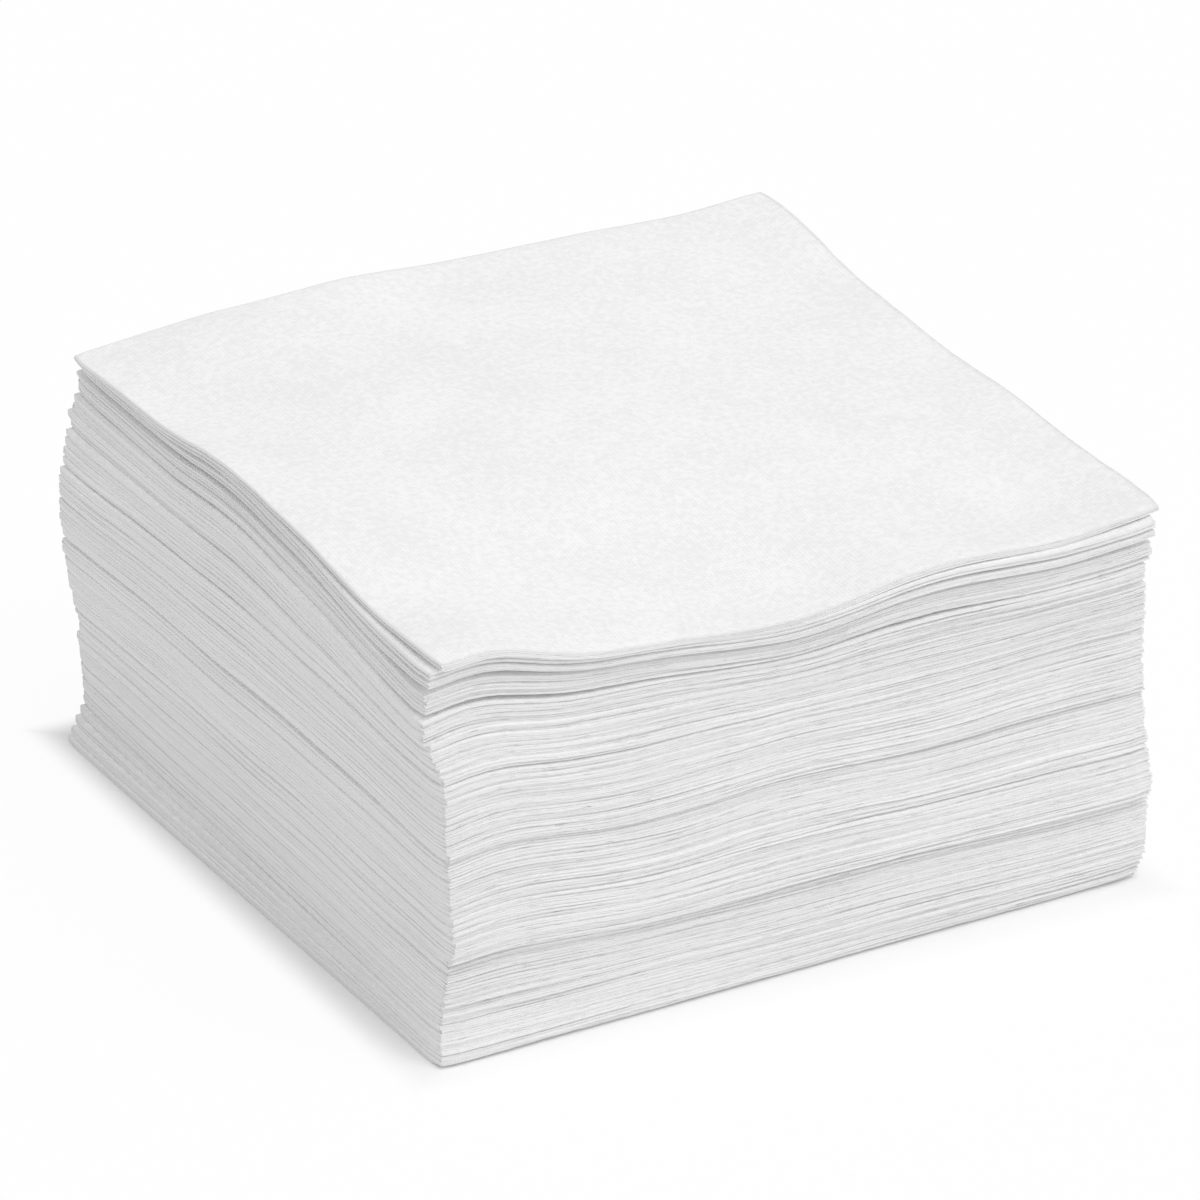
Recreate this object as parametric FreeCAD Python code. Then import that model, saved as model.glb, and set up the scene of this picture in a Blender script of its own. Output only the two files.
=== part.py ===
import FreeCAD, Part
import math
import os
import random

from FreeCAD import Placement, Rotation, Vector

# Stack of quarter-folded paper napkins
# Millimetres. +Z is up and the origin is at the middle of the face that the stack rests on.
# Every napkin is one square sheet folded twice, so it is one solid with four leaves.
# Fold 1 lies along the -X side of the napkin and fold 2 wraps the doubled sheet along its +Y side.
# The cut edges lie open along the -Y and the +X sides.

os.makedirs("parts", exist_ok=True)
doc = FreeCAD.newDocument("napkin_stack")

# Driving dimensions
SIZES = [
    ("napkin_count", 50, "napkins in the stack"),
    ("folded_side", 127.0, "side of a folded napkin, half of the open sheet"),
    ("sheet_thickness", 0.245, "thickness of the soft three-ply sheet"),
    ("leaf_gap", 0.11, "air between two leaves and between two napkins"),
    ("spans_across", 8, "spline spans of a leaf from side to side"),
    ("spans_along", 6, "spline spans of a leaf from front to back"),
    ("foot_height", 24.0, "height over which the lowest napkins take up the slope"),
    ("left_swell", 0.8, "extra height of the folded left side at the top"),
    ("left_reach", 60.0, "how far that swelling reaches to the right"),
    ("left_front_loss", 0.8, "share of it that is missing at the front"),
    ("right_drop", 4.0, "how much lower the right side lies"),
    ("foot_sag", 3.0, "sag of the open front edge above the lowest napkins"),
    ("top_sag", 5.6, "further sag of the front edge at the top"),
    ("sag_growth", 4, "power by which the further sag grows with height"),
    ("sag_start", 3.0, "distance of the sag from the left corner"),
    ("sag_slope", 32.0, "length over which it reaches its full depth"),
    ("sag_recovery", 0.75, "share of the sag that is lost again at the right"),
    ("sag_reach", 34.0, "how far the sag reaches back from the front edge"),
    ("corner_dip", 3.4, "how far the front left corner dips"),
    ("dip_height", 30.0, "height where it dips that far"),
    ("dip_across", 6.0, "reach of that dip to the right"),
    ("dip_along", 30.0, "reach of that dip to the back"),
    ("back_swell", 2.4, "extra height of the back edge's right half at the top"),
    ("back_droop", 2.8, "droop of the back left corner at the top"),
    ("droop_reach", 26.0, "reach of that droop"),
    ("wave_height", 0.35, "height of the slow waves along the open edges"),
    ("wave_length", 84.0, "length of those waves"),
    ("wave_reach", 26.0, "how far the waves reach in from the edge"),
    ("middle_turn", 2.1, "degrees that the middle napkins are turned"),
    ("middle_height", 37.0, "height where they have turned that far"),
    ("top_turn", -1.1, "degrees that the top napkins are turned"),
    ("top_start", 47.0, "height where the napkins begin to turn back"),
    ("top_length", 16.0, "height over which they do"),
    ("last_turn", 0.3, "degrees that the last napkin is turned"),
    ("last_push", -0.8, "how far the last napkin is pushed back to the left"),
    ("sway", 1.2, "how far the stack sways to the right and the left"),
    ("sway_length", 66.0, "height of one full sway"),
    ("sway_start", 10.0, "height where it lies farthest to the right"),
    ("top_push", 0.7, "how far the top napkins are pushed to the right"),
    ("push_start", 57.0, "height where that push begins"),
    ("push_length", 10.0, "height over which it grows"),
    ("foot_push", 1.6, "how far the lowest napkin is pushed to the left"),
    ("foot_turn", 1.4, "degrees that it is turned besides"),
    ("foot_length", 6.0, "height over which both are lost"),
    ("low_step_start", 14, "napkins below the low step"),
    ("low_step", 1.7, "how far the napkins above that step stand out to the front"),
    ("low_step_length", 16, "napkins over which that is lost"),
    ("middle_step_start", 27, "napkins below the middle step"),
    ("middle_step", 0.7, "how far the napkins above that step stand out"),
    ("middle_step_length", 14, "napkins over which that is lost"),
    ("top_step_start", 47, "napkins below the top step"),
    ("top_step", 1.1, "how far the napkins above that step stand out"),
    ("top_step_length", 30, "napkins over which that would be lost"),
    ("jitter", 0.12, "how far a napkin lies off its neighbours"),
    ("top_jitter", 0.4, "how far the topmost napkins do"),
    ("turn_jitter", 0.05, "degrees that a napkin is turned off its neighbours"),
]
STEPS = ("low_step", "middle_step", "top_step")

sheet = doc.addObject("Spreadsheet::Sheet", "Sizes")
for row, (alias, value, meaning) in enumerate(SIZES, start=1):
    sheet.set(f"A{row}", alias)
    sheet.set(f"B{row}", str(value))
    sheet.set(f"C{row}", meaning)
    sheet.setAlias(f"B{row}", alias)
doc.recompute()
size = {alias: sheet.get(alias) for alias, value, meaning in SIZES}

SIDE = size["folded_side"]
HALF = SIDE / 2
THICKNESS = size["sheet_thickness"]
GAP = size["leaf_gap"]
PITCH = 4 * (THICKNESS + GAP)
COUNT = int(size["napkin_count"])
STACK = COUNT * PITCH

# Heights of the two fold axes over the napkin's underside
AXIS_1 = THICKNESS + GAP / 2
AXIS_2 = 2 * THICKNESS + GAP + GAP / 2
FOLD_LINE_1 = -HALF + AXIS_1
FOLD_LINE_2 = HALF - AXIS_2


# The form that the whole stack has settled into
def ramp(value, start, length):
    """Runs smoothly from 0 at start to 1 at start + length."""
    share = min(max((value - start) / length, 0.0), 1.0)
    return share * share * (3 - 2 * share)


def hill(value, reach):
    """A smooth hill, 1 where value is 0."""
    return math.exp(-((value / reach) ** 2))


def settling(point):
    """How far a point of the stack is moved up from where it lies in a perfectly flat one."""
    rise = point.z / STACK
    foot = ramp(point.z, 0, size["foot_height"])
    from_left = point.x + HALF
    from_front = point.y + HALF
    from_back = HALF - point.y
    to_right = ramp(from_left, HALF / 2, SIDE - HALF / 2)

    left = rise * size["left_swell"] * hill(from_left, size["left_reach"])
    left *= 1 - size["left_front_loss"] * hill(from_front, size["sag_reach"])
    right = -foot * size["right_drop"] * to_right

    sag = -(size["foot_sag"] * foot + size["top_sag"] * rise ** size["sag_growth"])
    sag *= ramp(from_left, size["sag_start"], size["sag_slope"])
    sag *= (1 - size["sag_recovery"] * to_right) * hill(from_front, size["sag_reach"])

    wave = rise * size["wave_height"] * math.sin(2 * math.pi * (from_left + point.z) / size["wave_length"])
    wave *= hill(from_front, size["wave_reach"]) + hill(from_back, size["wave_reach"])

    swell = rise * size["back_swell"] * to_right * hill(from_back, size["droop_reach"])
    droop = -size["back_droop"] * rise**3
    droop *= hill(from_left, size["droop_reach"]) * hill(from_back, size["droop_reach"])

    dip = -size["corner_dip"] * ramp(point.z, 0, size["dip_height"])
    dip *= math.exp(-max(from_left, 0.0) / size["dip_across"]) * hill(from_front, size["dip_along"])

    return left + right + sag + wave + swell + droop + dip


# Where each napkin lies in the stack
def standing_out(index):
    """How far a napkin stands out to the front above the steps, which are lost again higher up."""
    reach = 0.0
    for step in STEPS:
        above = index - size[step + "_start"]
        if above >= 0:
            reach += size[step] * max(1 - above / size[step + "_length"], 0.0)
    return reach


def napkin_places():
    """One placement per napkin, centred so that the stack's own box stands over the origin."""
    chance = random.Random(11)
    places = []
    for index in range(COUNT):
        height = index * PITCH
        top = ramp(height, size["top_start"], size["top_length"])
        turn = size["middle_turn"] * ramp(height, 0, size["middle_height"]) * (1 - top)
        turn += size["top_turn"] * top
        foot = 1 - ramp(height, 0, size["foot_length"])
        turn += size["foot_turn"] * foot
        last = index == COUNT - 1
        if last:
            turn = size["last_turn"]
        turn += chance.uniform(-size["turn_jitter"], size["turn_jitter"])
        across = size["sway"] * math.cos(2 * math.pi * (height - size["sway_start"]) / size["sway_length"])
        across += size["top_push"] * ramp(height, size["push_start"], size["push_length"])
        across -= size["foot_push"] * foot
        across += size["last_push"] if last else 0.0
        jitter = size["jitter"] + (size["top_jitter"] - size["jitter"]) * top
        across += chance.uniform(-jitter, jitter)
        along = chance.uniform(-jitter, jitter) - standing_out(index)
        places.append(Placement(Vector(across, along, height), Rotation(Vector(0, 0, 1), turn)))

    corners = [Vector(x, y, 0) for x in (-HALF, HALF) for y in (-HALF, HALF)]
    reached = [place.multVec(corner) for place in places for corner in corners]
    middle_x = (min(p.x for p in reached) + max(p.x for p in reached)) / 2
    middle_y = (min(p.y for p in reached) + max(p.y for p in reached)) / 2
    for place in places:
        place.Base = place.Base - Vector(middle_x, middle_y, 0)
    return places


# Spline runs: poles with their weights, and the knots, multiplicities and degree that go with them
QUARTER_TURNS = (
    [(0, -1, 1), (1, -1, math.sqrt(0.5)), (1, 0, 1)],
    [(1, 0, 1), (1, 1, math.sqrt(0.5)), (0, 1, 1)],
)
TURN_KNOTS = ([0, 1], [3, 3], 2)
EDGE_KNOTS = ([0, 1], [2, 2], 1)
DEGREE = 3


def span_knots(spans):
    knots = [i / spans for i in range(spans + 1)]
    return knots, [DEGREE + 1] + [1] * (spans - 1) + [DEGREE + 1], DEGREE


def stations(start, end, spans):
    """Pole positions that run evenly from start to end along an even cubic spline."""
    knots, counts, degree = span_knots(spans)
    full = [knot for knot, count in zip(knots, counts) for repeat in range(count)]
    shares = [sum(full[i + 1 : i + 1 + degree]) / degree for i in range(spans + degree)]
    return [start + (end - start) * share for share in shares]


def runs_across(lower, upper):
    """The section over fold 1, as leaf, two quarter turns and leaf, at this side's two heights."""
    spans = int(size["spans_across"])
    radius = AXIS_1 - lower
    xs = stations(HALF, FOLD_LINE_1, spans)
    leaf_a = [(x, lower, 1) for x in xs]
    folds = [
        ([(FOLD_LINE_1 - radius * c, AXIS_1 + radius * s, w) for c, s, w in turn], TURN_KNOTS)
        for turn in QUARTER_TURNS
    ]
    leaf_b = [(x, upper, 1) for x in reversed(xs)]
    return [(leaf_a, span_knots(spans)), *folds, (leaf_b, span_knots(spans))]


def runs_along():
    """The way over fold 2, as lower half, two quarter turns and upper half."""
    spans = int(size["spans_along"])
    ys = stations(-HALF, FOLD_LINE_2, spans)
    lower = [(y, 0, -1, 1) for y in ys]
    folds = [([(FOLD_LINE_2, c, s, w) for c, s, w in turn], TURN_KNOTS) for turn in QUARTER_TURNS]
    upper = [(y, 0, 1, 1) for y in reversed(ys)]
    return [(lower, span_knots(spans)), *folds, (upper, span_knots(spans))]


def spline_face(lines, knots_u, knots_v, place):
    """One face; lines holds rows of (station across, station along)."""
    poles = []
    weights = []
    for line in lines:
        row = []
        for (x, height, weight_x), (y, c, s, weight_y) in line:
            radius = AXIS_2 - height
            flat = Vector(x, y + radius * c, AXIS_2 + radius * s)
            row.append(flat + Vector(0, 0, settling(place.multVec(flat))))
        poles.append(row)
        weights.append([across[2] * along[3] for across, along in line])
    face = Part.BSplineSurface()
    face.buildFromPolesMultsKnots(
        poles, knots_u[1], knots_v[1], knots_u[0], knots_v[0], False, False, knots_u[2], knots_v[2], weights
    )
    return face.toShape()


def napkin_faces(place):
    """The two sides of the folded sheet and the strips along its four cut edges."""
    outside = runs_across(0, 2 * THICKNESS + GAP)
    inside = runs_across(THICKNESS, THICKNESS + GAP)
    along = runs_along()
    faces = []
    for side in (outside, inside):
        for stations_x, knots_x in side:
            for stations_y, knots_y in along:
                lines = [[(x, y) for y in stations_y] for x in stations_x]
                faces.append(spline_face(lines, knots_x, knots_y, place))

    for run, end in ((0, 0), (-1, -1)):
        edge_pair = (outside[run][0][end], inside[run][0][end])
        for stations_y, knots_y in along:
            lines = [[(x, y) for y in stations_y] for x in edge_pair]
            faces.append(spline_face(lines, EDGE_KNOTS, knots_y, place))
        y = along[run][0][end]
        for (outer_x, knots_x), (inner_x, knots_again) in zip(outside, inside):
            lines = [[(a, y), (b, y)] for a, b in zip(outer_x, inner_x)]
            faces.append(spline_face(lines, knots_x, EDGE_KNOTS, place))
    return faces


def napkin_solid(place, rests_on_table):
    faces = napkin_faces(place)
    if rests_on_table:
        # the underside of the lowest napkin is a plane face within the same edges
        border = [edge.Curve.toShape(*edge.ParameterRange) for edge in faces[0].OuterWire.Edges]
        faces[0] = Part.Face(Part.Wire(border))
    shell = Part.Compound(faces)
    shell.sewShape()
    solid = Part.Solid(shell)
    if solid.Volume < 0:
        solid.reverse()
    return solid


# Building and writing
for index, place in enumerate(napkin_places()):
    napkin = doc.addObject("Part::Feature", f"napkin_{index + 1:02d}")
    napkin.Label = napkin.Name
    napkin.Shape = napkin_solid(place, index == 0)
    napkin.Placement = place

doc.recompute()
box = FreeCAD.BoundBox()
volume = 0.0
for napkin in doc.findObjects("Part::Feature"):
    state = [word for word in napkin.State if word in ("Invalid", "Error")]
    if state or napkin.Shape.isNull() or not napkin.Shape.isValid():
        raise RuntimeError(f"{napkin.Label} did not build: {state}")
    box.add(napkin.Shape.BoundBox)
    volume += napkin.Shape.Volume
    napkin.Shape.exportStep(f"parts/{napkin.Label}.step")
print(f"{COUNT} napkins, box {box}, volume {volume:.0f} mm3")
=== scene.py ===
# %% [markdown]
# # A stack of paper napkins
# Fifty soft paper napkins, each one square sheet folded in half twice, lie loosely on each other.
# Two sides of the stack show rounded folds and the other two show open cut edges.
# Everything is in metres. The frame gives each napkin as a solid. One could roughen those solids, but
# then the gaps between the leaves would have to be painted. So every napkin is drawn again here as a
# thin folded sheet that follows its solid, and the light finds the gaps by itself. Some painted shade
# still goes into the colour of the flat faces, the cut edges and the folds.

# %% Setting up
import math

import bpy
import numpy as np
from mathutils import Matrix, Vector
from mathutils.bvhtree import BVHTree


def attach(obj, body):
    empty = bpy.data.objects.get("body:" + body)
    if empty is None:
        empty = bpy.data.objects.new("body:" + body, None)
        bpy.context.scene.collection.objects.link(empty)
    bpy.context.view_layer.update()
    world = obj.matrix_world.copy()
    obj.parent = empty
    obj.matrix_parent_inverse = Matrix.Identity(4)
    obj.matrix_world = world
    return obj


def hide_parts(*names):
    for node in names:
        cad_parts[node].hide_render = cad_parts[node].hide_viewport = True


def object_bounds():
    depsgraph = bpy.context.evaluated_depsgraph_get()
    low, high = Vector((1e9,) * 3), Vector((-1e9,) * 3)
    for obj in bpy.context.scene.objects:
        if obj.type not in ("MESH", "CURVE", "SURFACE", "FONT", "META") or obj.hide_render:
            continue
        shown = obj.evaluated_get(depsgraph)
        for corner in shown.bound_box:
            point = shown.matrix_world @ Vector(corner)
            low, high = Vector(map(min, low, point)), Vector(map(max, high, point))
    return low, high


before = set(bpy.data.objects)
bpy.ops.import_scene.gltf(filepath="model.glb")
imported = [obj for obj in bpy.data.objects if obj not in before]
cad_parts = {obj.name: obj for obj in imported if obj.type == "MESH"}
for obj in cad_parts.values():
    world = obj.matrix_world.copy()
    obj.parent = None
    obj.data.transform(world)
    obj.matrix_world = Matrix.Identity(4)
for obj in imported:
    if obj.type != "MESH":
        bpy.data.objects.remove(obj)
cad_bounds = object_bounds()
stack_height = cad_bounds[1][2]
napkin_names = sorted(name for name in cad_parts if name.startswith("napkin_"))
print(len(napkin_names), "napkins in a box of", [[round(v, 4) for v in corner] for corner in cad_bounds])

# %% [markdown]
# ## How each napkin lies
# The solids were moved and turned a little against each other and pressed into one settled form.
# Both could be written down here a second time, but they can also be read back from the frame, and
# then the drawing follows the solids when they change. A napkin's turn is the angle at which the box
# round it is smallest.

# %% Reading the turn and the middle of a napkin
TURN_LIMIT = math.radians(4)
TURN_STEPS = 161
RAY_HEIGHT = 0.2


def turned(points, angle):
    """Points of the XY plane, turned back by angle."""
    c, s = math.cos(angle), math.sin(angle)
    return np.column_stack((c * points[:, 0] + s * points[:, 1], c * points[:, 1] - s * points[:, 0]))


class Lie:
    """Where one napkin lies: its turn, its middle, half its side and the heights of its two faces."""

    def __init__(self, name):
        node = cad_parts[name]
        points = np.array([node.matrix_world @ v.co for v in node.data.vertices])
        self.turn = min(
            np.linspace(-TURN_LIMIT, TURN_LIMIT, TURN_STEPS),
            key=lambda angle: np.ptp(turned(points, angle), axis=0).sum(),
        )
        flat = turned(points, self.turn)
        low, high = flat.min(axis=0), flat.max(axis=0)
        self.half = (high - low).mean() / 2
        self.middle = (low + high) / 2
        self.tree = BVHTree.FromObject(node, bpy.context.evaluated_depsgraph_get())

    def world(self, x, y):
        """A place on the napkin, x and y from its middle, in the frame's own axes."""
        c, s = math.cos(self.turn), math.sin(self.turn)
        x, y = x + self.middle[0], y + self.middle[1]
        return c * x - s * y, s * x + c * y

    def height(self, x, y, upper):
        """Height of the upper or the lower side over one place on the napkin, found by a ray."""
        wx, wy = self.world(x, y)
        start = Vector((wx, wy, RAY_HEIGHT if upper else -RAY_HEIGHT))
        hit = self.tree.ray_cast(start, Vector((0, 0, -1 if upper else 1)))
        return hit[0].z


lies = [Lie(name) for name in napkin_names]
half_side = sum(lie.half for lie in lies) / len(lies)
print("half side", round(half_side, 5), "turns", [round(math.degrees(lie.turn), 2) for lie in lies])

# %% [markdown]
# ## The form that each napkin is pressed into
# A ray dropped onto the solid finds its upper side, and a ray raised to it finds its underside.
# A ray for every point of the drawing would take long, so each face is measured on an even grid, and
# the heights in between are blended from the four samples around.

# %% Heights of the two faces of each solid
SAMPLE_COUNT = 33
SAMPLE_INSET = 0.0008


def sampled_face(lie, upper):
    """Heights of one side of the solid over an even grid of places."""
    reach = np.linspace(-lie.half + SAMPLE_INSET, lie.half - SAMPLE_INSET, SAMPLE_COUNT)
    return np.array([[lie.height(x, y, upper) for x in reach] for y in reach])


def between_samples(lie, heights, x, y):
    """The sampled height at any place, going on straight past the last sample."""
    step = 2 * (lie.half - SAMPLE_INSET) / (SAMPLE_COUNT - 1)
    u = (x + lie.half - SAMPLE_INSET) / step
    v = (y + lie.half - SAMPLE_INSET) / step
    i = np.clip(u.astype(int), 0, SAMPLE_COUNT - 2)
    j = np.clip(v.astype(int), 0, SAMPLE_COUNT - 2)
    u, v = u - i, v - j
    near = heights[j, i] * (1 - u) + heights[j, i + 1] * u
    far = heights[j + 1, i] * (1 - u) + heights[j + 1, i + 1] * u
    return near * (1 - v) + far * v


undersides = [sampled_face(lie, False) for lie in lies]
upper_sides = [sampled_face(lie, True) for lie in lies]
napkin_heights = [np.median(high - low) for low, high in zip(undersides, upper_sides)]
print("stack height", round(stack_height, 4), "height of one napkin", round(napkin_heights[0], 5))

# %% [markdown]
# ## One folded sheet as a net of points
# A quarter-folded napkin is one sheet on four panels. Going from the lowest panel, fold 1 leads to
# the second panel, and fold 2 leads both of them over to the two upper ones. So a point of the sheet
# can be written as a place x, y on the panel and two fold angles, each 0 before a fold and half a
# turn after it. The net is made once, and every napkin only bends it in its own way. Folding a flat
# mesh step by step would do as well, but the formula keeps both sides of the sheet in step.

# %% A net that shares the points where its faces meet
KEY_DIGITS = 7


class Net:
    """Points (x, y, fold angle 1, fold angle 2), the faces between them and each face's material slot."""

    def __init__(self):
        self.points = []
        self.index = {}
        self.faces = []
        self.slots = []
        self.rim = []

    def point(self, x, y, angle_1, angle_2):
        key = tuple(round(v, KEY_DIGITS) for v in (x, y, angle_1, angle_2))
        if key not in self.index:
            self.index[key] = len(self.points)
            self.points.append(key)
        return self.index[key]

    def face(self, *corners):
        distinct = list(dict.fromkeys(corners))
        if len(distinct) > 2:
            self.faces.append(distinct)

    def grid(self, rows):
        for row, after in zip(rows, rows[1:]):
            for a, b, c, d in zip(row, row[1:], after[1:], after):
                self.face(a, b, c, d)

    def turn_over(self, first):
        """Turns the faces from number first on, so that they show their other side."""
        self.faces[first:] = [face[::-1] for face in self.faces[first:]]

    def find_rim(self):
        """Finds the edges that belong to one face only, in that face's direction."""
        edges = [edge for face in self.faces for edge in zip(face, face[1:] + face[:1])]
        seen = set(edges)
        self.rim = [(a, b) for a, b in edges if (b, a) not in seen]


two_squares = Net()
two_squares.grid([[two_squares.point(x, y, 0, 0) for x in (0, 1, 2)] for y in (0, 1)])
two_squares.find_rim()
print("two squares have", len(two_squares.points), "points and", len(two_squares.rim), "outer edges")


# %% [markdown]
# A panel has many points along its rim, where it is seen, and few in the middle, where it is hidden.
# Rings do that, each with half as many points as the one round it. The napkin on top is seen from
# above, so its panels are even grids.

# %% Panels
RIM_COUNT = 80
RING_INSETS = (0.0, 0.0011, 0.0034, 0.009, 0.022)


def square_ring(low, high, inset, count):
    """Places round a square, counter-clockwise from its low corner, count along each side."""
    (x0, y0), (x1, y1) = low + inset, high - inset
    shares = np.arange(count) / count
    sides = (
        (x0 + (x1 - x0) * shares, np.full(count, y0)),
        (np.full(count, x1), y0 + (y1 - y0) * shares),
        (x1 - (x1 - x0) * shares, np.full(count, y1)),
        (np.full(count, x0), y1 - (y1 - y0) * shares),
    )
    return np.vstack([np.column_stack(side) for side in sides])


def add_ring_panel(net, low, high, angles):
    """A panel as rings, each with half as many points as the one round it."""
    count = RIM_COUNT
    outer = None
    for inset in RING_INSETS:
        ring = [net.point(x, y, *angles) for x, y in square_ring(low, high, inset, count)]
        if outer:
            for j, here in enumerate(ring):
                following = ring[(j + 1) % len(ring)]
                a, b, c = outer[2 * j], outer[2 * j + 1], outer[(2 * j + 2) % len(outer)]
                net.face(a, b, here)
                net.face(here, b, following)
                net.face(b, c, following)
        outer = ring
        count //= 2
    centre = net.point(*((low + high) / 2), *angles)
    for here, following in zip(outer, outer[1:] + outer[:1]):
        net.face(here, following, centre)


def add_grid_panel(net, low, high, angles):
    """A panel as an even grid."""
    xs = np.linspace(low[0], high[0], RIM_COUNT + 1)
    ys = np.linspace(low[1], high[1], RIM_COUNT + 1)
    net.grid([[net.point(x, y, *angles) for x in xs] for y in ys])


ring_points = sum(4 * (RIM_COUNT // 2**k) for k in range(len(RING_INSETS))) + 1
print("a panel of rings has", ring_points, "points and an even grid has", (RIM_COUNT + 1) ** 2)

# %% [markdown]
# The folds are strips of the same net. Only the fold angle changes across a strip, and at the corner
# where both folds meet both angles change. All faces have to be turned the same way along the sheet,
# or the smooth shading goes dark where they meet. Two panels and two strips are turned over for that.

# %% The whole sheet
FOLD_1_STEPS = 5
FOLD_2_STEPS = 6
HALF_TURN = math.pi
FACE_SLOT, EDGE_SLOT, FOLD_SLOT = range(3)
FOLD_1_ROOM = 0.00035
FOLD_2_ROOM = 0.0006


def sheet_net(low, high, add_panel):
    """The net of one folded sheet over the panel square from low to high."""
    net = Net()
    turns_1 = np.linspace(0, HALF_TURN, FOLD_1_STEPS + 1)
    turns_2 = np.linspace(0, HALF_TURN, FOLD_2_STEPS + 1)
    xs = np.linspace(low[0], high[0], RIM_COUNT + 1)
    ys = np.linspace(low[1], high[1], RIM_COUNT + 1)

    for angles in ((0, 0), (HALF_TURN, 0), (HALF_TURN, HALF_TURN), (0, HALF_TURN)):
        first = len(net.faces)
        add_panel(net, low, high, angles)
        shows_underside = (angles[0] > 0) == (angles[1] > 0)
        if shows_underside:
            net.turn_over(first)
    net.slots = [FACE_SLOT] * len(net.faces)

    first = len(net.faces)
    net.grid([[net.point(x, high[1], 0, b) for x in xs] for b in turns_2])
    net.grid([[net.point(low[0], y, a, HALF_TURN) for a in turns_1] for y in ys])
    net.turn_over(first)
    net.grid([[net.point(low[0], y, a, 0) for a in turns_1] for y in ys])
    net.grid([[net.point(low[0], high[1], a, b) for a in turns_1] for b in turns_2])
    net.grid([[net.point(x, high[1], HALF_TURN, b) for x in xs] for b in turns_2])
    net.slots += [FOLD_SLOT] * (len(net.faces) - len(net.slots))
    net.find_rim()
    return net


low_corner = np.array([-half_side + FOLD_1_ROOM, -half_side])
high_corner = np.array([half_side, half_side - FOLD_2_ROOM])
hidden_net = sheet_net(low_corner, high_corner, add_ring_panel)
top_net = sheet_net(low_corner, high_corner, add_grid_panel)
for title, net in (("hidden", hidden_net), ("topmost", top_net)):
    print(title, "napkin:", len(net.points), "points,", len(net.faces), "faces,", len(net.rim), "on the rim")

# %% [markdown]
# ## Bending the net: the two folds
# The sheet's two sides lie half a thickness to either side of its middle. A point's height inside the
# napkin follows from the two fold angles: fold 1 has the radius of half the distance between two
# leaves, and fold 2 goes round the middle of the napkin, so its radius is the height left to it.
# The weight of the stack presses a fold square and shallow. The topmost napkins carry hardly any
# weight, and their folds stay round and deep.

# %% Folds
SHEET_THICKNESS = 0.00027
LEAVES = 4
FOLD_DEPTHS = (0.05, 0.4)
FOLD_SQUARENESS = 0.7
LOOSE_NAPKINS = 5
LOOSE_FOLD_DEPTH = 1.2


def rounded(share, loose):
    """The round of a fold, which the weight of the stack makes squarer where it isn't loose."""
    return share if loose else np.sign(share) * np.abs(share) ** FOLD_SQUARENESS


def folded(net_points, tall, side, fold_depth, loose):
    """Places x and y, and levels above the napkin's underside, of the sheet's outside (1) or inside (-1)."""
    x, y, angle_1, angle_2 = net_points.T
    leaf_step = (tall - SHEET_THICKNESS) / (LEAVES - 1)
    radius_1 = leaf_step / 2 + side * SHEET_THICKNESS / 2
    level_in_pair = (leaf_step + SHEET_THICKNESS) / 2 - radius_1 * rounded(np.cos(angle_1), loose)
    radius_2 = tall / 2 - level_in_pair
    level = tall / 2 - radius_2 * rounded(np.cos(angle_2), loose)
    px = x - fold_depth * radius_1 * rounded(np.sin(angle_1), loose)
    py = y + fold_depth * radius_2 * rounded(np.sin(angle_2), loose)
    return px, py, level


print("leaves are", round((napkin_heights[0] - SHEET_THICKNESS) / (LEAVES - 1), 5), "apart")

# %% [markdown]
# ## Slow, repeatable unevenness
# Tissue is soft, so nothing in the stack is quite straight. Random numbers for each point would make
# it rough instead of soft. A ripple is a sum of a few sine waves in directions picked by a fixed
# seed. It changes slowly along the edges and with height, so that neighbouring sheets move together
# and don't cut through each other.

# %% Ripples
RIPPLE_WAVES = 7
LENGTH_SPREAD = (0.7, 1.6)
RIPPLE_LEVEL = 0.7


class Ripple:
    """A smooth field over space, about -1 to 1, with its own seed, wave length and height length."""

    def __init__(self, seed, length, height_length):
        chance = np.random.default_rng(seed)
        angles = chance.uniform(0, 2 * math.pi, RIPPLE_WAVES)
        numbers = 2 * math.pi / (length * chance.uniform(*LENGTH_SPREAD, RIPPLE_WAVES))
        self.kx = numbers * np.cos(angles)
        self.ky = numbers * np.sin(angles)
        self.kz = chance.choice((-1, 1), RIPPLE_WAVES) * 2 * math.pi / height_length
        self.phase = chance.uniform(0, 2 * math.pi, RIPPLE_WAVES)

    def __call__(self, x, y, z):
        total = np.zeros(np.broadcast(x, y, z).shape)
        for kx, ky, kz, phase in zip(self.kx, self.ky, self.kz, self.phase):
            total += np.sin(kx * x + ky * y + kz * z + phase)
        return math.sqrt(2 / RIPPLE_WAVES) * RIPPLE_LEVEL * total


edge_wave = Ripple(3, 0.042, 0.06)
edge_ruffle = Ripple(5, 0.012, 0.03)
groove_run = Ripple(7, 0.09, 0.05)
print("edge wave at the front corner", round(float(edge_wave(-half_side, -half_side, 0)), 2))

# %% [markdown]
# ## Cut edges that never end in one line
# The four leaves of a napkin end a little apart, each along its own slow ripple, and a cut is never
# quite clean. The folds stand out unevenly too. These offsets fade away from each side, so they only
# need each point's distance from the four sides, and one value for each leaf blended over the folds.

# %% Uneven edges
CORNER_ROUND = 0.0004
CORNER_REACH = 0.0024
OPEN_EDGE_SCATTER = 0.0002
OPEN_EDGE_RIPPLE = 0.00014
OPEN_EDGE_RAGS = 0.00006
RAGS_REACH = 0.0008
FOLD_SCATTER = 0.00014
LOOSE_SCATTER = 0.5
EDGE_REACH = 0.006


def fade(distance, reach):
    return np.exp(-((distance / reach) ** 2))


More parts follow.
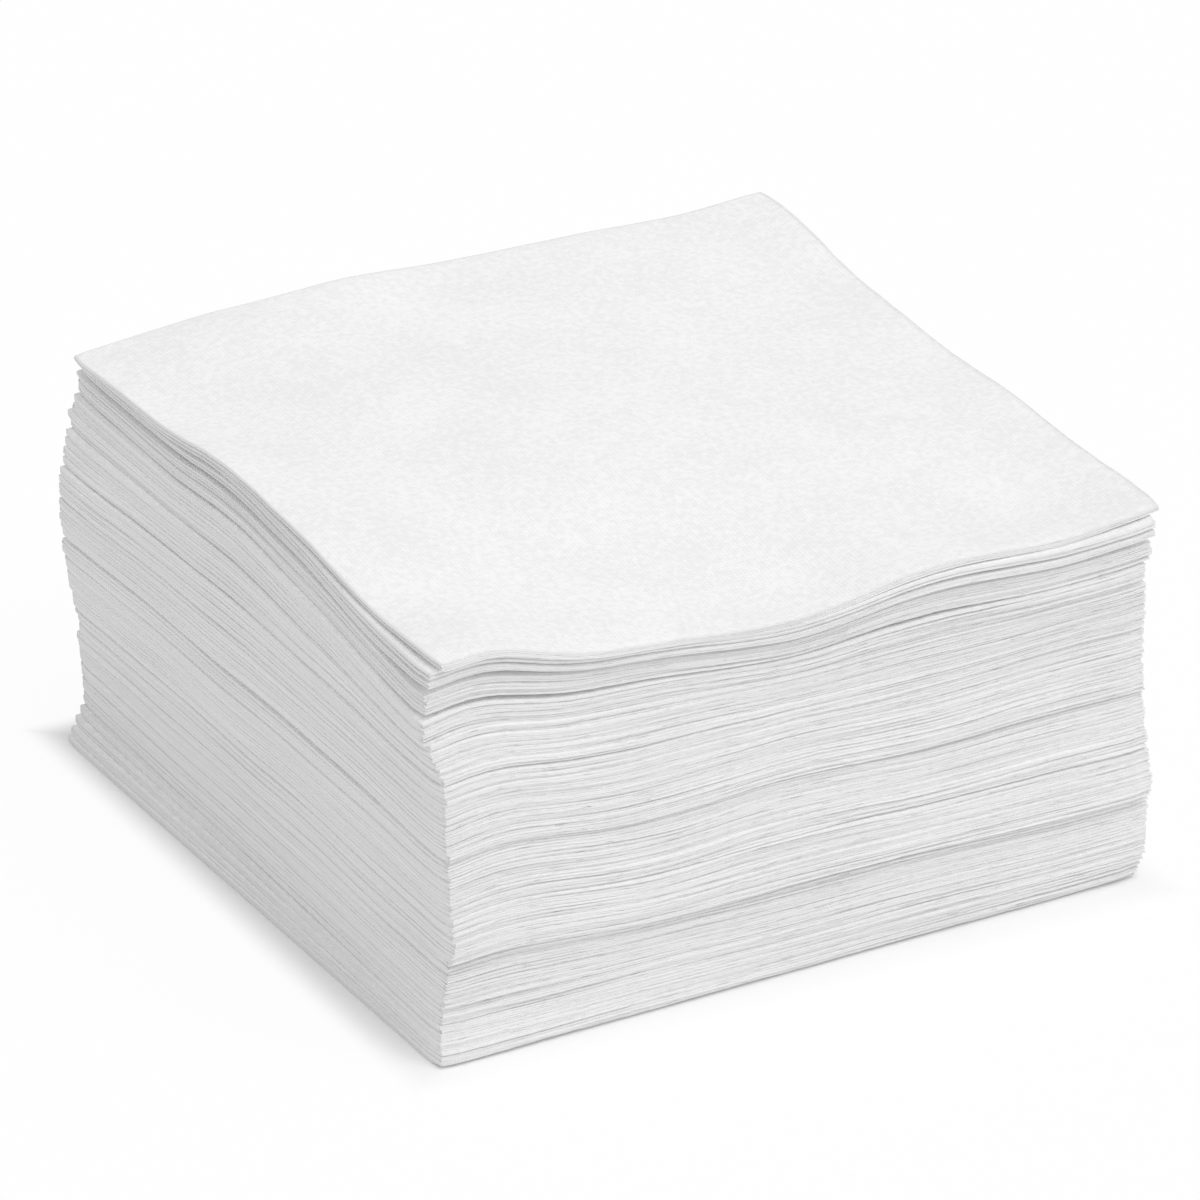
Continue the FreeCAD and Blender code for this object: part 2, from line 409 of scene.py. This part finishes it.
def leaf_mix(values, angle_1, angle_2):
    """Blends one value for each of the four panels over the two folds."""
    q = (1 - np.cos(angle_1)) / 2
    p = (1 - np.cos(angle_2)) / 2
    lower = values[0] * (1 - q) + values[1] * q
    upper = values[3] * (1 - q) + values[2] * q
    return lower * (1 - p) + upper * p


class Reach:
    """How far each point of the net is from the sides and the corners of the napkin."""

    def __init__(self, x, y, half):
        self.front, self.back = y + half, half - y
        self.left, self.right = x + half, half - x
        side, end = np.minimum(self.left, self.right), np.minimum(self.front, self.back)
        self.edge = np.minimum(side, end)
        self.corner = np.hypot(side, end)


def edge_offsets(net_points, reach, along, chance, loose):
    """How far the corners, the cut edges and the folds of each leaf are moved, in x and in y."""
    x, y, angle_1, angle_2 = net_points.T
    corner = CORNER_ROUND * fade(reach.corner, CORNER_REACH)
    dx, dy = -np.sign(x) * corner, -np.sign(y) * corner

    scatter_front, scatter_right, scatter_left, scatter_back = chance.uniform(-1, 1, (4, LEAVES))
    calm = LOOSE_SCATTER if loose else 1.0
    rags = calm * OPEN_EDGE_RAGS * chance.uniform(-1, 1, len(net_points))
    dx += fade(reach.right, RAGS_REACH) * rags
    dy += fade(reach.front, RAGS_REACH) * rags

    def open_edge(scatter):
        ends = [OPEN_EDGE_SCATTER * s + OPEN_EDGE_RIPPLE * a for s, a in zip(scatter, along)]
        return calm * leaf_mix(ends, angle_1, angle_2)

    dx += fade(reach.right, EDGE_REACH) * open_edge(scatter_right)
    dy += fade(reach.front, EDGE_REACH) * open_edge(scatter_front)

    pair_left = [scatter_left[0], scatter_left[0], scatter_left[3], scatter_left[3]]
    pair_back = [scatter_back[0], scatter_back[1], scatter_back[1], scatter_back[0]]
    dx += fade(reach.left, EDGE_REACH) * FOLD_SCATTER * leaf_mix(pair_left, angle_1, angle_2)
    dy += fade(reach.back, EDGE_REACH) * FOLD_SCATTER * leaf_mix(pair_back, angle_1, angle_2)
    return dx, dy


print("cut edges scatter by", OPEN_EDGE_SCATTER, "and folds by", FOLD_SCATTER)

# %% [markdown]
# ## Waves, grooves and closer leaves
# Towards its edges the stack is less even: the leaves of a napkin come closer to each other, soft
# waves run along the sides, and here and there two napkins stand apart and leave a dark groove.
# Beside the front corner the upper napkins rise in a small hump. Sculpting all this by hand would be
# lost at the next change of the solids. Written as heights that are added to the form of the solid,
# each can be changed by itself. The foot of the stack, which is pressed flat, gets less of the waves.

# %% Uneven heights
UNEVEN_SHARE = 0.4
WAVE_REACH = 0.022
LEAF_SPREAD = 0.00004
LEAF_LEANS = (0.5, 1, -1, -0.5)
PINCH_MOST = 0.06
LOOSE_PINCH = 0.22
INNER_WAVE = 0.00008
EDGE_WAVE = 0.00016
RUFFLE_WAVE = 0.00004
TOP_WAVE = 0.0006
TOP_WAVE_POWER = 6
FOOT_SHARE = 0.25
GROOVES = {
    7: 0.0002, 14: 0.0003, 20: 0.0002, 27: 0.00045, 36: 0.0002, 44: 0.0004, 47: 0.0009, 48: 0.0003,
}
GROOVE_SPREAD = 5
GROOVE_REACH = 0.008
HUMP_HEIGHT = 0.0016
HUMP_PLACE = 0.011
HUMP_WIDTH = 0.009
HUMP_REACH = 0.025


def varied(field):
    """A factor that follows a ripple: 1 where the ripple is 1, and less elsewhere."""
    return 1 - UNEVEN_SHARE + UNEVEN_SHARE * field


def uneven_level(net_points, level, tall, reach, along, loose):
    """Levels in the napkin, with the leaves closer and less even towards the edges."""
    near_edge = fade(reach.edge, WAVE_REACH)
    spread = leaf_mix([LEAF_SPREAD * lean * a for lean, a in zip(LEAF_LEANS, along)], *net_points.T[2:])
    pinch = (LOOSE_PINCH if loose else PINCH_MOST) * varied(along[0]) * near_edge
    middle = tall / 2 + tall * pinch / 2 * along[1]
    return middle + (level - tall / 2) * (1 - pinch) + spread * near_edge


def groove_push(number, part):
    """How far the grooves push a layer up or down, part being its share of the napkin's height."""
    total = np.zeros(len(part))
    for groove, depth in GROOVES.items():
        away = number + part - groove
        direction = 1 if number >= groove else -1
        total += direction * depth * np.maximum(1 - np.abs(away) / GROOVE_SPREAD, 0)
    return total


def waves(wx, wy, height, number, part, reach):
    """Heights that waves, grooves and the hump add to a napkin whose underside is at the given height."""
    rise = min(height / stack_height, 1.0)
    edge_share = EDGE_WAVE + TOP_WAVE * rise**TOP_WAVE_POWER
    total = edge_wave(wx, wy, height) * (INNER_WAVE + edge_share * fade(reach.edge, WAVE_REACH))
    total += RUFFLE_WAVE * edge_ruffle(wx, wy, height) * fade(reach.edge, EDGE_REACH)
    groove = groove_push(number, part) * fade(reach.edge, GROOVE_REACH)
    total += groove * varied(groove_run(wx, wy, height))
    hump = HUMP_HEIGHT * rise**2 * fade(reach.left - HUMP_PLACE, HUMP_WIDTH) * fade(reach.front, HUMP_REACH)
    return total * min(rise / FOOT_SHARE, 1.0) + hump


print("grooves over napkins", list(GROOVES))

# %% [markdown]
# ## One napkin's places
# Here everything comes together. The solid's underside and upper side say where a level lies in the
# stack. They are moved apart by a hair, so that the napkins nearly touch. The cut edge of the lowest
# napkin lifts off the floor a little, which gives the stack its thin line of shadow.
# Each point also gets its place along and up the layers, which the materials of the edges use.

# %% Bending
NAPKIN_SEEDS = 1000
LEAF_SEEDS = 10
LEAF_WAVE_LENGTH = 0.04
LEAF_HEIGHT_LENGTH = 1.0
SWELLING = 0.00005
LOWEST_LIFT = 0.0006
LIFT_REACH = 0.002


def bend(net_points, number, side):
    """Places of the net's points on one side of the sheet, and how far each lies along and up the layers.

    The side is 1 outside and -1 inside.
    """
    lie, low, high, tall = lies[number], undersides[number], upper_sides[number], napkin_heights[number]
    loose = number >= len(lies) - LOOSE_NAPKINS
    chance = np.random.default_rng(NAPKIN_SEEDS + number)
    fold_depth = LOOSE_FOLD_DEPTH if loose else chance.uniform(*FOLD_DEPTHS)

    x, y = net_points.T[:2]
    wx, wy = lie.world(x, y)
    reach = Reach(x, y, lie.half)
    seeds = [LEAF_SEEDS * number + k for k in range(LEAVES)]
    along = [Ripple(seed, LEAF_WAVE_LENGTH, LEAF_HEIGHT_LENGTH)(wx, wy, 0) for seed in seeds]

    px, py, level = folded(net_points, tall, side, fold_depth, loose)
    dx, dy = edge_offsets(net_points, reach, along, chance, loose)
    px, py = px + dx, py + dy
    part = uneven_level(net_points, level, tall, reach, along, loose) / tall

    bottom = between_samples(lie, low, px, py) - SWELLING
    top = between_samples(lie, high, px, py) + SWELLING
    z = bottom + (top - bottom) * part + waves(wx, wy, np.median(low), number, part, reach)
    if number == 0:
        z += LOWEST_LIFT * fade(np.minimum(reach.front, reach.right), LIFT_REACH) * (1 - part)
    return (
        np.column_stack((*lie.world(px, py), np.maximum(z, 0))),
        np.column_stack((x + y, LEAVES * (number + part))),
    )


lowest_places = bend(np.array(hidden_net.points), 0, 1)[0]
print("the outside of the lowest napkin reaches up to", round(lowest_places[:, 2].max(), 5))

# %% [markdown]
# ## Writing shaders as formulas
# A material is easier to read as arithmetic than as a list of links. The small class below wraps one
# output socket of a node, so that a formula in the script makes the nodes that work it out.


# %% A socket that can be calculated with
class Wire:
    """One output socket of a material's node tree, with arithmetic that adds the nodes it needs."""

    def __init__(self, tree, socket):
        self.tree = tree
        self.socket = socket

    def node(self, kind, settings=None, inputs=None, output=0):
        """Any node: its settings are set first, then its sockets by name or number."""
        made = self.tree.nodes.new(kind)
        for name, value in (settings or {}).items():
            setattr(made, name, value)
        for name, value in (inputs or {}).items():
            if isinstance(value, Wire):
                self.tree.links.new(value.socket, made.inputs[name])
            else:
                made.inputs[name].default_value = value
        return Wire(self.tree, made.outputs[output])

    def feed(self, socket):
        self.tree.links.new(self.socket, socket)

    def maths(self, operation, *values):
        return self.node("ShaderNodeMath", {"operation": operation}, dict(enumerate(values)))

    def vector_maths(self, operation, *values, output=0):
        return self.node("ShaderNodeVectorMath", {"operation": operation}, dict(enumerate(values)), output)

    def __add__(self, other):
        return self.maths("ADD", self, other)

    def __radd__(self, other):
        return self.maths("ADD", other, self)

    def __sub__(self, other):
        return self.maths("SUBTRACT", self, other)

    def __rsub__(self, other):
        return self.maths("SUBTRACT", other, self)

    def __mul__(self, other):
        return self.maths("MULTIPLY", self, other)

    def __rmul__(self, other):
        return self.maths("MULTIPLY", other, self)

    def scaled(self, factors):
        """This vector, each part times its own factor."""
        return self.vector_maths("MULTIPLY", self, factors)

    def dot(self, direction):
        return self.vector_maths("DOT_PRODUCT", self, direction, output=1)

    def sine(self):
        return self.maths("SINE", self)

    def absolute(self):
        return self.maths("ABSOLUTE", self)

    def larger(self, other):
        return self.maths("MAXIMUM", self, other)

    def noise(self, scale, detail=2.0, roughness=0.5):
        inputs = {"Vector": self, "Scale": scale, "Detail": detail, "Roughness": roughness}
        return self.node("ShaderNodeTexNoise", None, inputs)

    def remapped(self, low, high, to_low=0.0, to_high=1.0):
        inputs = {0: self, 1: low, 2: high, 3: to_low, 4: to_high}
        return self.node("ShaderNodeMapRange", {"interpolation_type": "SMOOTHSTEP"}, inputs)

    def mixed(self, first, second):
        """A colour between first and second, this wire being the share of the second."""
        return self.node(
            "ShaderNodeMix", {"data_type": "RGBA"}, {"Factor": self, "A": first, "B": second}, "Result"
        )

    def bump(self, strength, distance):
        """A normal that this wire, as a height, disturbs."""
        inputs = {"Strength": strength, "Distance": distance, "Height": self}
        return self.node("ShaderNodeBump", None, inputs)


def new_material(name, coordinate="Object"):
    """A material with only its shader, and a wire with each point's place in metres or its layer."""
    material = bpy.data.materials.new(name)
    material.use_nodes = True
    tree = material.node_tree
    coordinates = tree.nodes.new("ShaderNodeTexCoord")
    return material, tree.nodes["Principled BSDF"], Wire(tree, coordinates.outputs[coordinate])


# %% [markdown]
# ## The paper's flat faces
# White tissue is matt. Its flat faces carry a very fine embossing, in diagonal rows less than a
# millimetre apart, over the cloudy unevenness of the fibres. A picture of tissue would repeat and
# blur from close by. Here two crossing sine waves make the rows, and noise makes the fibres. Both go
# into a bump. The fibres also go faintly into the colour as uneven colour of the paper, and the rows
# as painted shade that follows the bump, because the bump's own shading is lost from a step away.

# %% Faces of the paper
PAPER_ROUGHNESS = 0.95
PAPER_SPECULAR = 0.1
PAPER_WHITE = (0.99, 0.988, 0.989, 1.0)
PAPER_SHADE = (0.895, 0.892, 0.893, 1.0)
EMBOSS_PITCH = 0.0009
EMBOSS_DEPTH = 0.00003
EMBOSS_STRENGTH = 0.5
FIBRE_SCALE = 900
CLOUD_SCALE = 60
SHADE_AND_FIBRE_RANGE = (0.36, 0.68)


def set_matt(shader):
    shader.inputs["Roughness"].default_value = PAPER_ROUGHNESS
    shader.inputs["Specular IOR Level"].default_value = PAPER_SPECULAR


def make_face_paper():
    material, shader, place = new_material("napkin_paper_face")
    set_matt(shader)
    wave_number = 2 * math.pi / EMBOSS_PITCH / math.sqrt(2)
    rising = place.dot((wave_number, wave_number, 0)).sine()
    falling = place.dot((wave_number, -wave_number, 0)).sine()
    fibres = place.noise(FIBRE_SCALE, detail=3.0, roughness=0.6)
    cloud = place.noise(CLOUD_SCALE, detail=3.0, roughness=0.55)
    height = 0.5 * rising * falling + 1.2 * fibres
    height.bump(EMBOSS_STRENGTH, EMBOSS_DEPTH).feed(shader.inputs["Normal"])
    # painted shade that follows the embossed rows, mixed with the fibres' uneven colour
    emboss_shade_and_fibres = (0.1 * rising * falling + 0.75 * fibres + 0.3 * cloud).remapped(*SHADE_AND_FIBRE_RANGE)
    emboss_shade_and_fibres.mixed(PAPER_WHITE, PAPER_SHADE).feed(shader.inputs["Base Color"])
    return material


face_paper = make_face_paper()
print(face_paper.name, "has", len(face_paper.node_tree.nodes), "nodes")

# %% [markdown]
# ## The cut edges
# A cut edge shows loose plies. Its colour carries painted shade: some leaves are painted a little
# darker than others, and a cut that stays open shows as a short dash of painted shadow. Streaks that
# ran straight through space would cross the bent sheets. So the noise uses the layer coordinates,
# which run along the cut and go up by one for each leaf, and the streaks follow every bend.

# %% Cut edges of the paper
EDGE_WHITE = (0.99, 0.988, 0.988, 1.0)
EDGE_SHADE = (0.82, 0.817, 0.817, 1.0)
EDGE_GAP_SHADOW = (0.35, 0.345, 0.34, 1.0)
BAND_STRETCH = (22, 1.1, 1)
DASH_STRETCH = (190, 1.9, 1)
PLY_STRETCH = (900, 9, 1)
BAND_RANGE = (0.43, 0.61)
DASH_RANGE = (0.6, 0.72)
CUT_BUMP = 0.4
CUT_DEPTH = 0.00005


def make_edge_paper():
    material, shader, layer = new_material("napkin_paper_edge", "UV")
    set_matt(shader)
    bands = layer.scaled(BAND_STRETCH).noise(1.0, detail=2.0, roughness=0.6)
    gap_shadow_dashes = layer.scaled(DASH_STRETCH).noise(1.0, detail=3.0, roughness=0.6)
    plies = layer.scaled(PLY_STRETCH).noise(1.0, detail=2.0, roughness=0.5)
    # painted shade: some leaves of the cut edge darker than others
    painted_leaf_shade = (0.6 * bands + 0.4 * plies).remapped(*BAND_RANGE).mixed(EDGE_WHITE, EDGE_SHADE)
    # painted shadow: short dark dashes where a cut stays open
    gap_shadow_dashes.remapped(*DASH_RANGE).mixed(painted_leaf_shade, EDGE_GAP_SHADOW).feed(shader.inputs["Base Color"])
    (plies - gap_shadow_dashes).bump(CUT_BUMP, CUT_DEPTH).feed(shader.inputs["Normal"])
    return material


edge_paper = make_edge_paper()
print(edge_paper.name, "has", len(edge_paper.node_tree.nodes), "nodes")

# %% [markdown]
# ## The folds
# A fold is pressed smooth, with faint long streaks along it. Its colours are painted darker than the
# flat faces, as painted shade for the folded sides, which face away from the lamp. The embossing could
# go on round it, but a fold is hardly wider than one of its rows, so from a step away it would only
# glitter.

# %% Folds of the paper
# painted shade: both fold colours are darker than the paper of the flat faces
SHADED_FOLD_LIGHT = (0.91, 0.907, 0.908, 1.0)
SHADED_FOLD_DARK = (0.81, 0.807, 0.808, 1.0)
STREAK_STRETCH = (24, 1.3, 1)
STREAK_RANGE = (0.35, 0.65)
CREASE_STRETCH = (260, 2.5, 1)
CREASE_BUMP = 0.12
CREASE_DEPTH = 0.00004


def make_shaded_fold_paper():
    material, shader, layer = new_material("napkin_paper_fold_shaded", "UV")
    set_matt(shader)
    streaks = layer.scaled(STREAK_STRETCH).noise(1.0, detail=3.0, roughness=0.6)
    creases = layer.scaled(CREASE_STRETCH).noise(1.0, detail=2.0, roughness=0.5)
    # painted shade on the folded sides, with faint streaks along the folds
    streaks.remapped(*STREAK_RANGE).mixed(SHADED_FOLD_LIGHT, SHADED_FOLD_DARK).feed(shader.inputs["Base Color"])
    creases.bump(CREASE_BUMP, CREASE_DEPTH).feed(shader.inputs["Normal"])
    return material


shaded_fold_paper = make_shaded_fold_paper()
print(shaded_fold_paper.name, "has", len(shaded_fold_paper.node_tree.nodes), "nodes")

# %% [markdown]
# ## Making the fifty sheets
# Both sides of the sheet are made from the same net, one of them turned inside out, and a strip
# closes the sheet along its cut edge. A thickness modifier could do that too, but then the cut edge
# couldn't have its own material and layer coordinates.


# %% Sheets
def make_napkin(number, net):
    points = np.array(net.points)
    outside, outside_layers = bend(points, number, 1)
    inside, inside_layers = bend(points, number, -1)
    shift = len(points)
    faces = net.faces + [[v + shift for v in reversed(face)] for face in net.faces]
    rim = [(b, a, a + shift, b + shift) for a, b in net.rim]

    mesh = bpy.data.meshes.new(f"folded_napkin_{number + 1:02d}")
    mesh.from_pydata(np.vstack((outside, inside)).tolist(), [], faces + rim)
    for material in (face_paper, edge_paper, shaded_fold_paper):
        mesh.materials.append(material)
    mesh.polygons.foreach_set("use_smooth", [True] * len(faces) + [False] * len(rim))
    mesh.polygons.foreach_set("material_index", net.slots + net.slots + [EDGE_SLOT] * len(rim))
    corners = np.empty(len(mesh.loops), dtype=int)
    mesh.loops.foreach_get("vertex_index", corners)
    layers = np.vstack((outside_layers, inside_layers))[corners]
    mesh.uv_layers.new(name="layers").data.foreach_set("uv", layers.ravel())
    mesh.update()
    piece = bpy.data.objects.new(mesh.name, mesh)
    bpy.context.scene.collection.objects.link(piece)
    return piece


# the sheet laid open is two panels wide and two panels long
open_side = 2 * (2 * half_side)
for number, name in enumerate(napkin_names):
    topmost = number == len(napkin_names) - 1
    piece = make_napkin(number, top_net if topmost else hidden_net)
    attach(piece, "root")
    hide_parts(name)
print(len(napkin_names), "sheets, each", round(open_side, 4), "square when laid open")

# %% [markdown]
# ## Floor
# The stack stands on a plain white floor that runs into a white background. A lit floor alone comes
# out a little grey, and a brighter light would burn out the paper. So, for the camera only, the floor
# shines white by itself. Its share is nothing under the stack and grows within a few millimetres
# beside it, and the shadow of the stack stays faintly visible through the rest.

# %% Floor
FLOOR_SIZE = 12.0
FLOOR_WHITE = (0.97, 0.97, 0.97, 1.0)
FLOOR_PALER = (0.975, 0.975, 0.975, 1.0)
FLOOR_GRAIN_SCALE = 40.0
FLOOR_ROUGHNESS = 0.9
FLOOR_SHINE = 0.92
FLOOR_SHINE_REACH = 0.007
WHITE = (1, 1, 1, 1)


def make_floor():
    reach = FLOOR_SIZE / 2
    corners = [(x * reach, y * reach, 0) for x, y in ((-1, -1), (1, -1), (1, 1), (-1, 1))]
    mesh = bpy.data.meshes.new("floor")
    mesh.from_pydata(corners, [], [(0, 1, 2, 3)])
    material, shader, place = new_material("floor_white")
    shader.inputs["Roughness"].default_value = FLOOR_ROUGHNESS
    shader.inputs["Specular IOR Level"].default_value = 0.0
    place.noise(FLOOR_GRAIN_SCALE).mixed(FLOOR_WHITE, FLOOR_PALER).feed(shader.inputs["Base Color"])
    tree = material.node_tree
    camera_ray = Wire(tree, tree.nodes.new("ShaderNodeLightPath").outputs["Is Camera Ray"])
    glow = place.node("ShaderNodeEmission", None, {"Color": WHITE, "Strength": 1.0})
    lit = Wire(tree, shader.outputs["BSDF"])
    away = place.dot((1, 0, 0)).absolute().larger(place.dot((0, 1, 0)).absolute()) - half_side
    shine = away.remapped(0.0, FLOOR_SHINE_REACH, 0.0, FLOOR_SHINE)
    mix = place.node("ShaderNodeMixShader", None, {0: camera_ray * shine, 1: lit, 2: glow})
    mix.feed(tree.nodes["Material Output"].inputs["Surface"])
    mesh.materials.append(material)
    floor = bpy.data.objects.new("floor", mesh)
    bpy.context.scene.collection.objects.link(floor)


make_floor()
print("floor", FLOOR_SIZE, "across, shining by itself up to", FLOOR_SHINE)

# %% [markdown]
# ## Light
# A large soft sky and one broad lamp from the front right light the stack. So the open front is
# brighter than the folded left side, whose fold colours also carry painted shade, and a soft shadow
# lies to the left. Small lamps would draw hard shadows between the sheets. Sky and lamp together
# light a level surface about once over, so that colours come out about as written.

# %% Sky and lamp
SKY_STRENGTH = 0.6
LAMP_STRENGTH = 1.2
LAMP_DIRECTION = Vector((0.2, -0.42, 0.89))
LAMP_ANGLE = math.radians(45)


def make_sky():
    world = bpy.data.worlds.new("sky")
    bpy.context.scene.world = world
    world.use_nodes = True
    tree = world.node_tree
    background = tree.nodes["Background"]
    background.inputs["Color"].default_value = WHITE
    background.inputs["Strength"].default_value = SKY_STRENGTH
    light = Wire(tree, background.outputs[0])
    camera_ray = Wire(tree, tree.nodes.new("ShaderNodeLightPath").outputs["Is Camera Ray"])
    backdrop = camera_ray.node("ShaderNodeBackground", None, {"Color": WHITE, "Strength": 1.0})
    mix = camera_ray.node("ShaderNodeMixShader", None, {0: camera_ray, 1: light, 2: backdrop})
    mix.feed(tree.nodes["World Output"].inputs["Surface"])


def make_lamp():
    data = bpy.data.lights.new("broad_lamp", "SUN")
    data.energy = LAMP_STRENGTH
    data.angle = LAMP_ANGLE
    lamp = bpy.data.objects.new("broad_lamp", data)
    lamp.location = LAMP_DIRECTION
    lamp.rotation_euler = LAMP_DIRECTION.to_track_quat("Z", "Y").to_euler()
    bpy.context.scene.collection.objects.link(lamp)


make_sky()
make_lamp()
print("sky", SKY_STRENGTH, "and lamp", LAMP_STRENGTH, "from", [round(v, 2) for v in LAMP_DIRECTION])

# %% [markdown]
# ## Camera
# The camera looks at the front corner from the left and from above. A place found by eye would show
# a wrong height at once, so its place and its long lens were fitted to the corners of the stack in
# the photograph.

# %% Camera
CAMERA_PLACE = Vector((-0.6515, -1.2084, 0.7233))
CAMERA_TURN = math.radians(-118.345)
CAMERA_RISE = math.radians(26.537)
CAMERA_LENS = 288.94
SENSOR_WIDTH = 36
VIEW_DISTANCE = 100


def make_camera():
    data = bpy.data.cameras.new("camera")
    data.lens = CAMERA_LENS
    data.sensor_width = SENSOR_WIDTH
    data.clip_end = VIEW_DISTANCE
    camera = bpy.data.objects.new("camera", data)
    level, up = math.cos(CAMERA_RISE), math.sin(CAMERA_RISE)
    away = Vector((level * math.cos(CAMERA_TURN), level * math.sin(CAMERA_TURN), up))
    camera.location = CAMERA_PLACE
    camera.rotation_euler = away.to_track_quat("Z", "Y").to_euler()
    bpy.context.scene.collection.objects.link(camera)
    return camera


bpy.context.scene.camera = make_camera()
bpy.context.scene.view_settings.view_transform = "Standard"
print("camera", [round(v, 3) for v in CAMERA_PLACE], "lens", CAMERA_LENS)
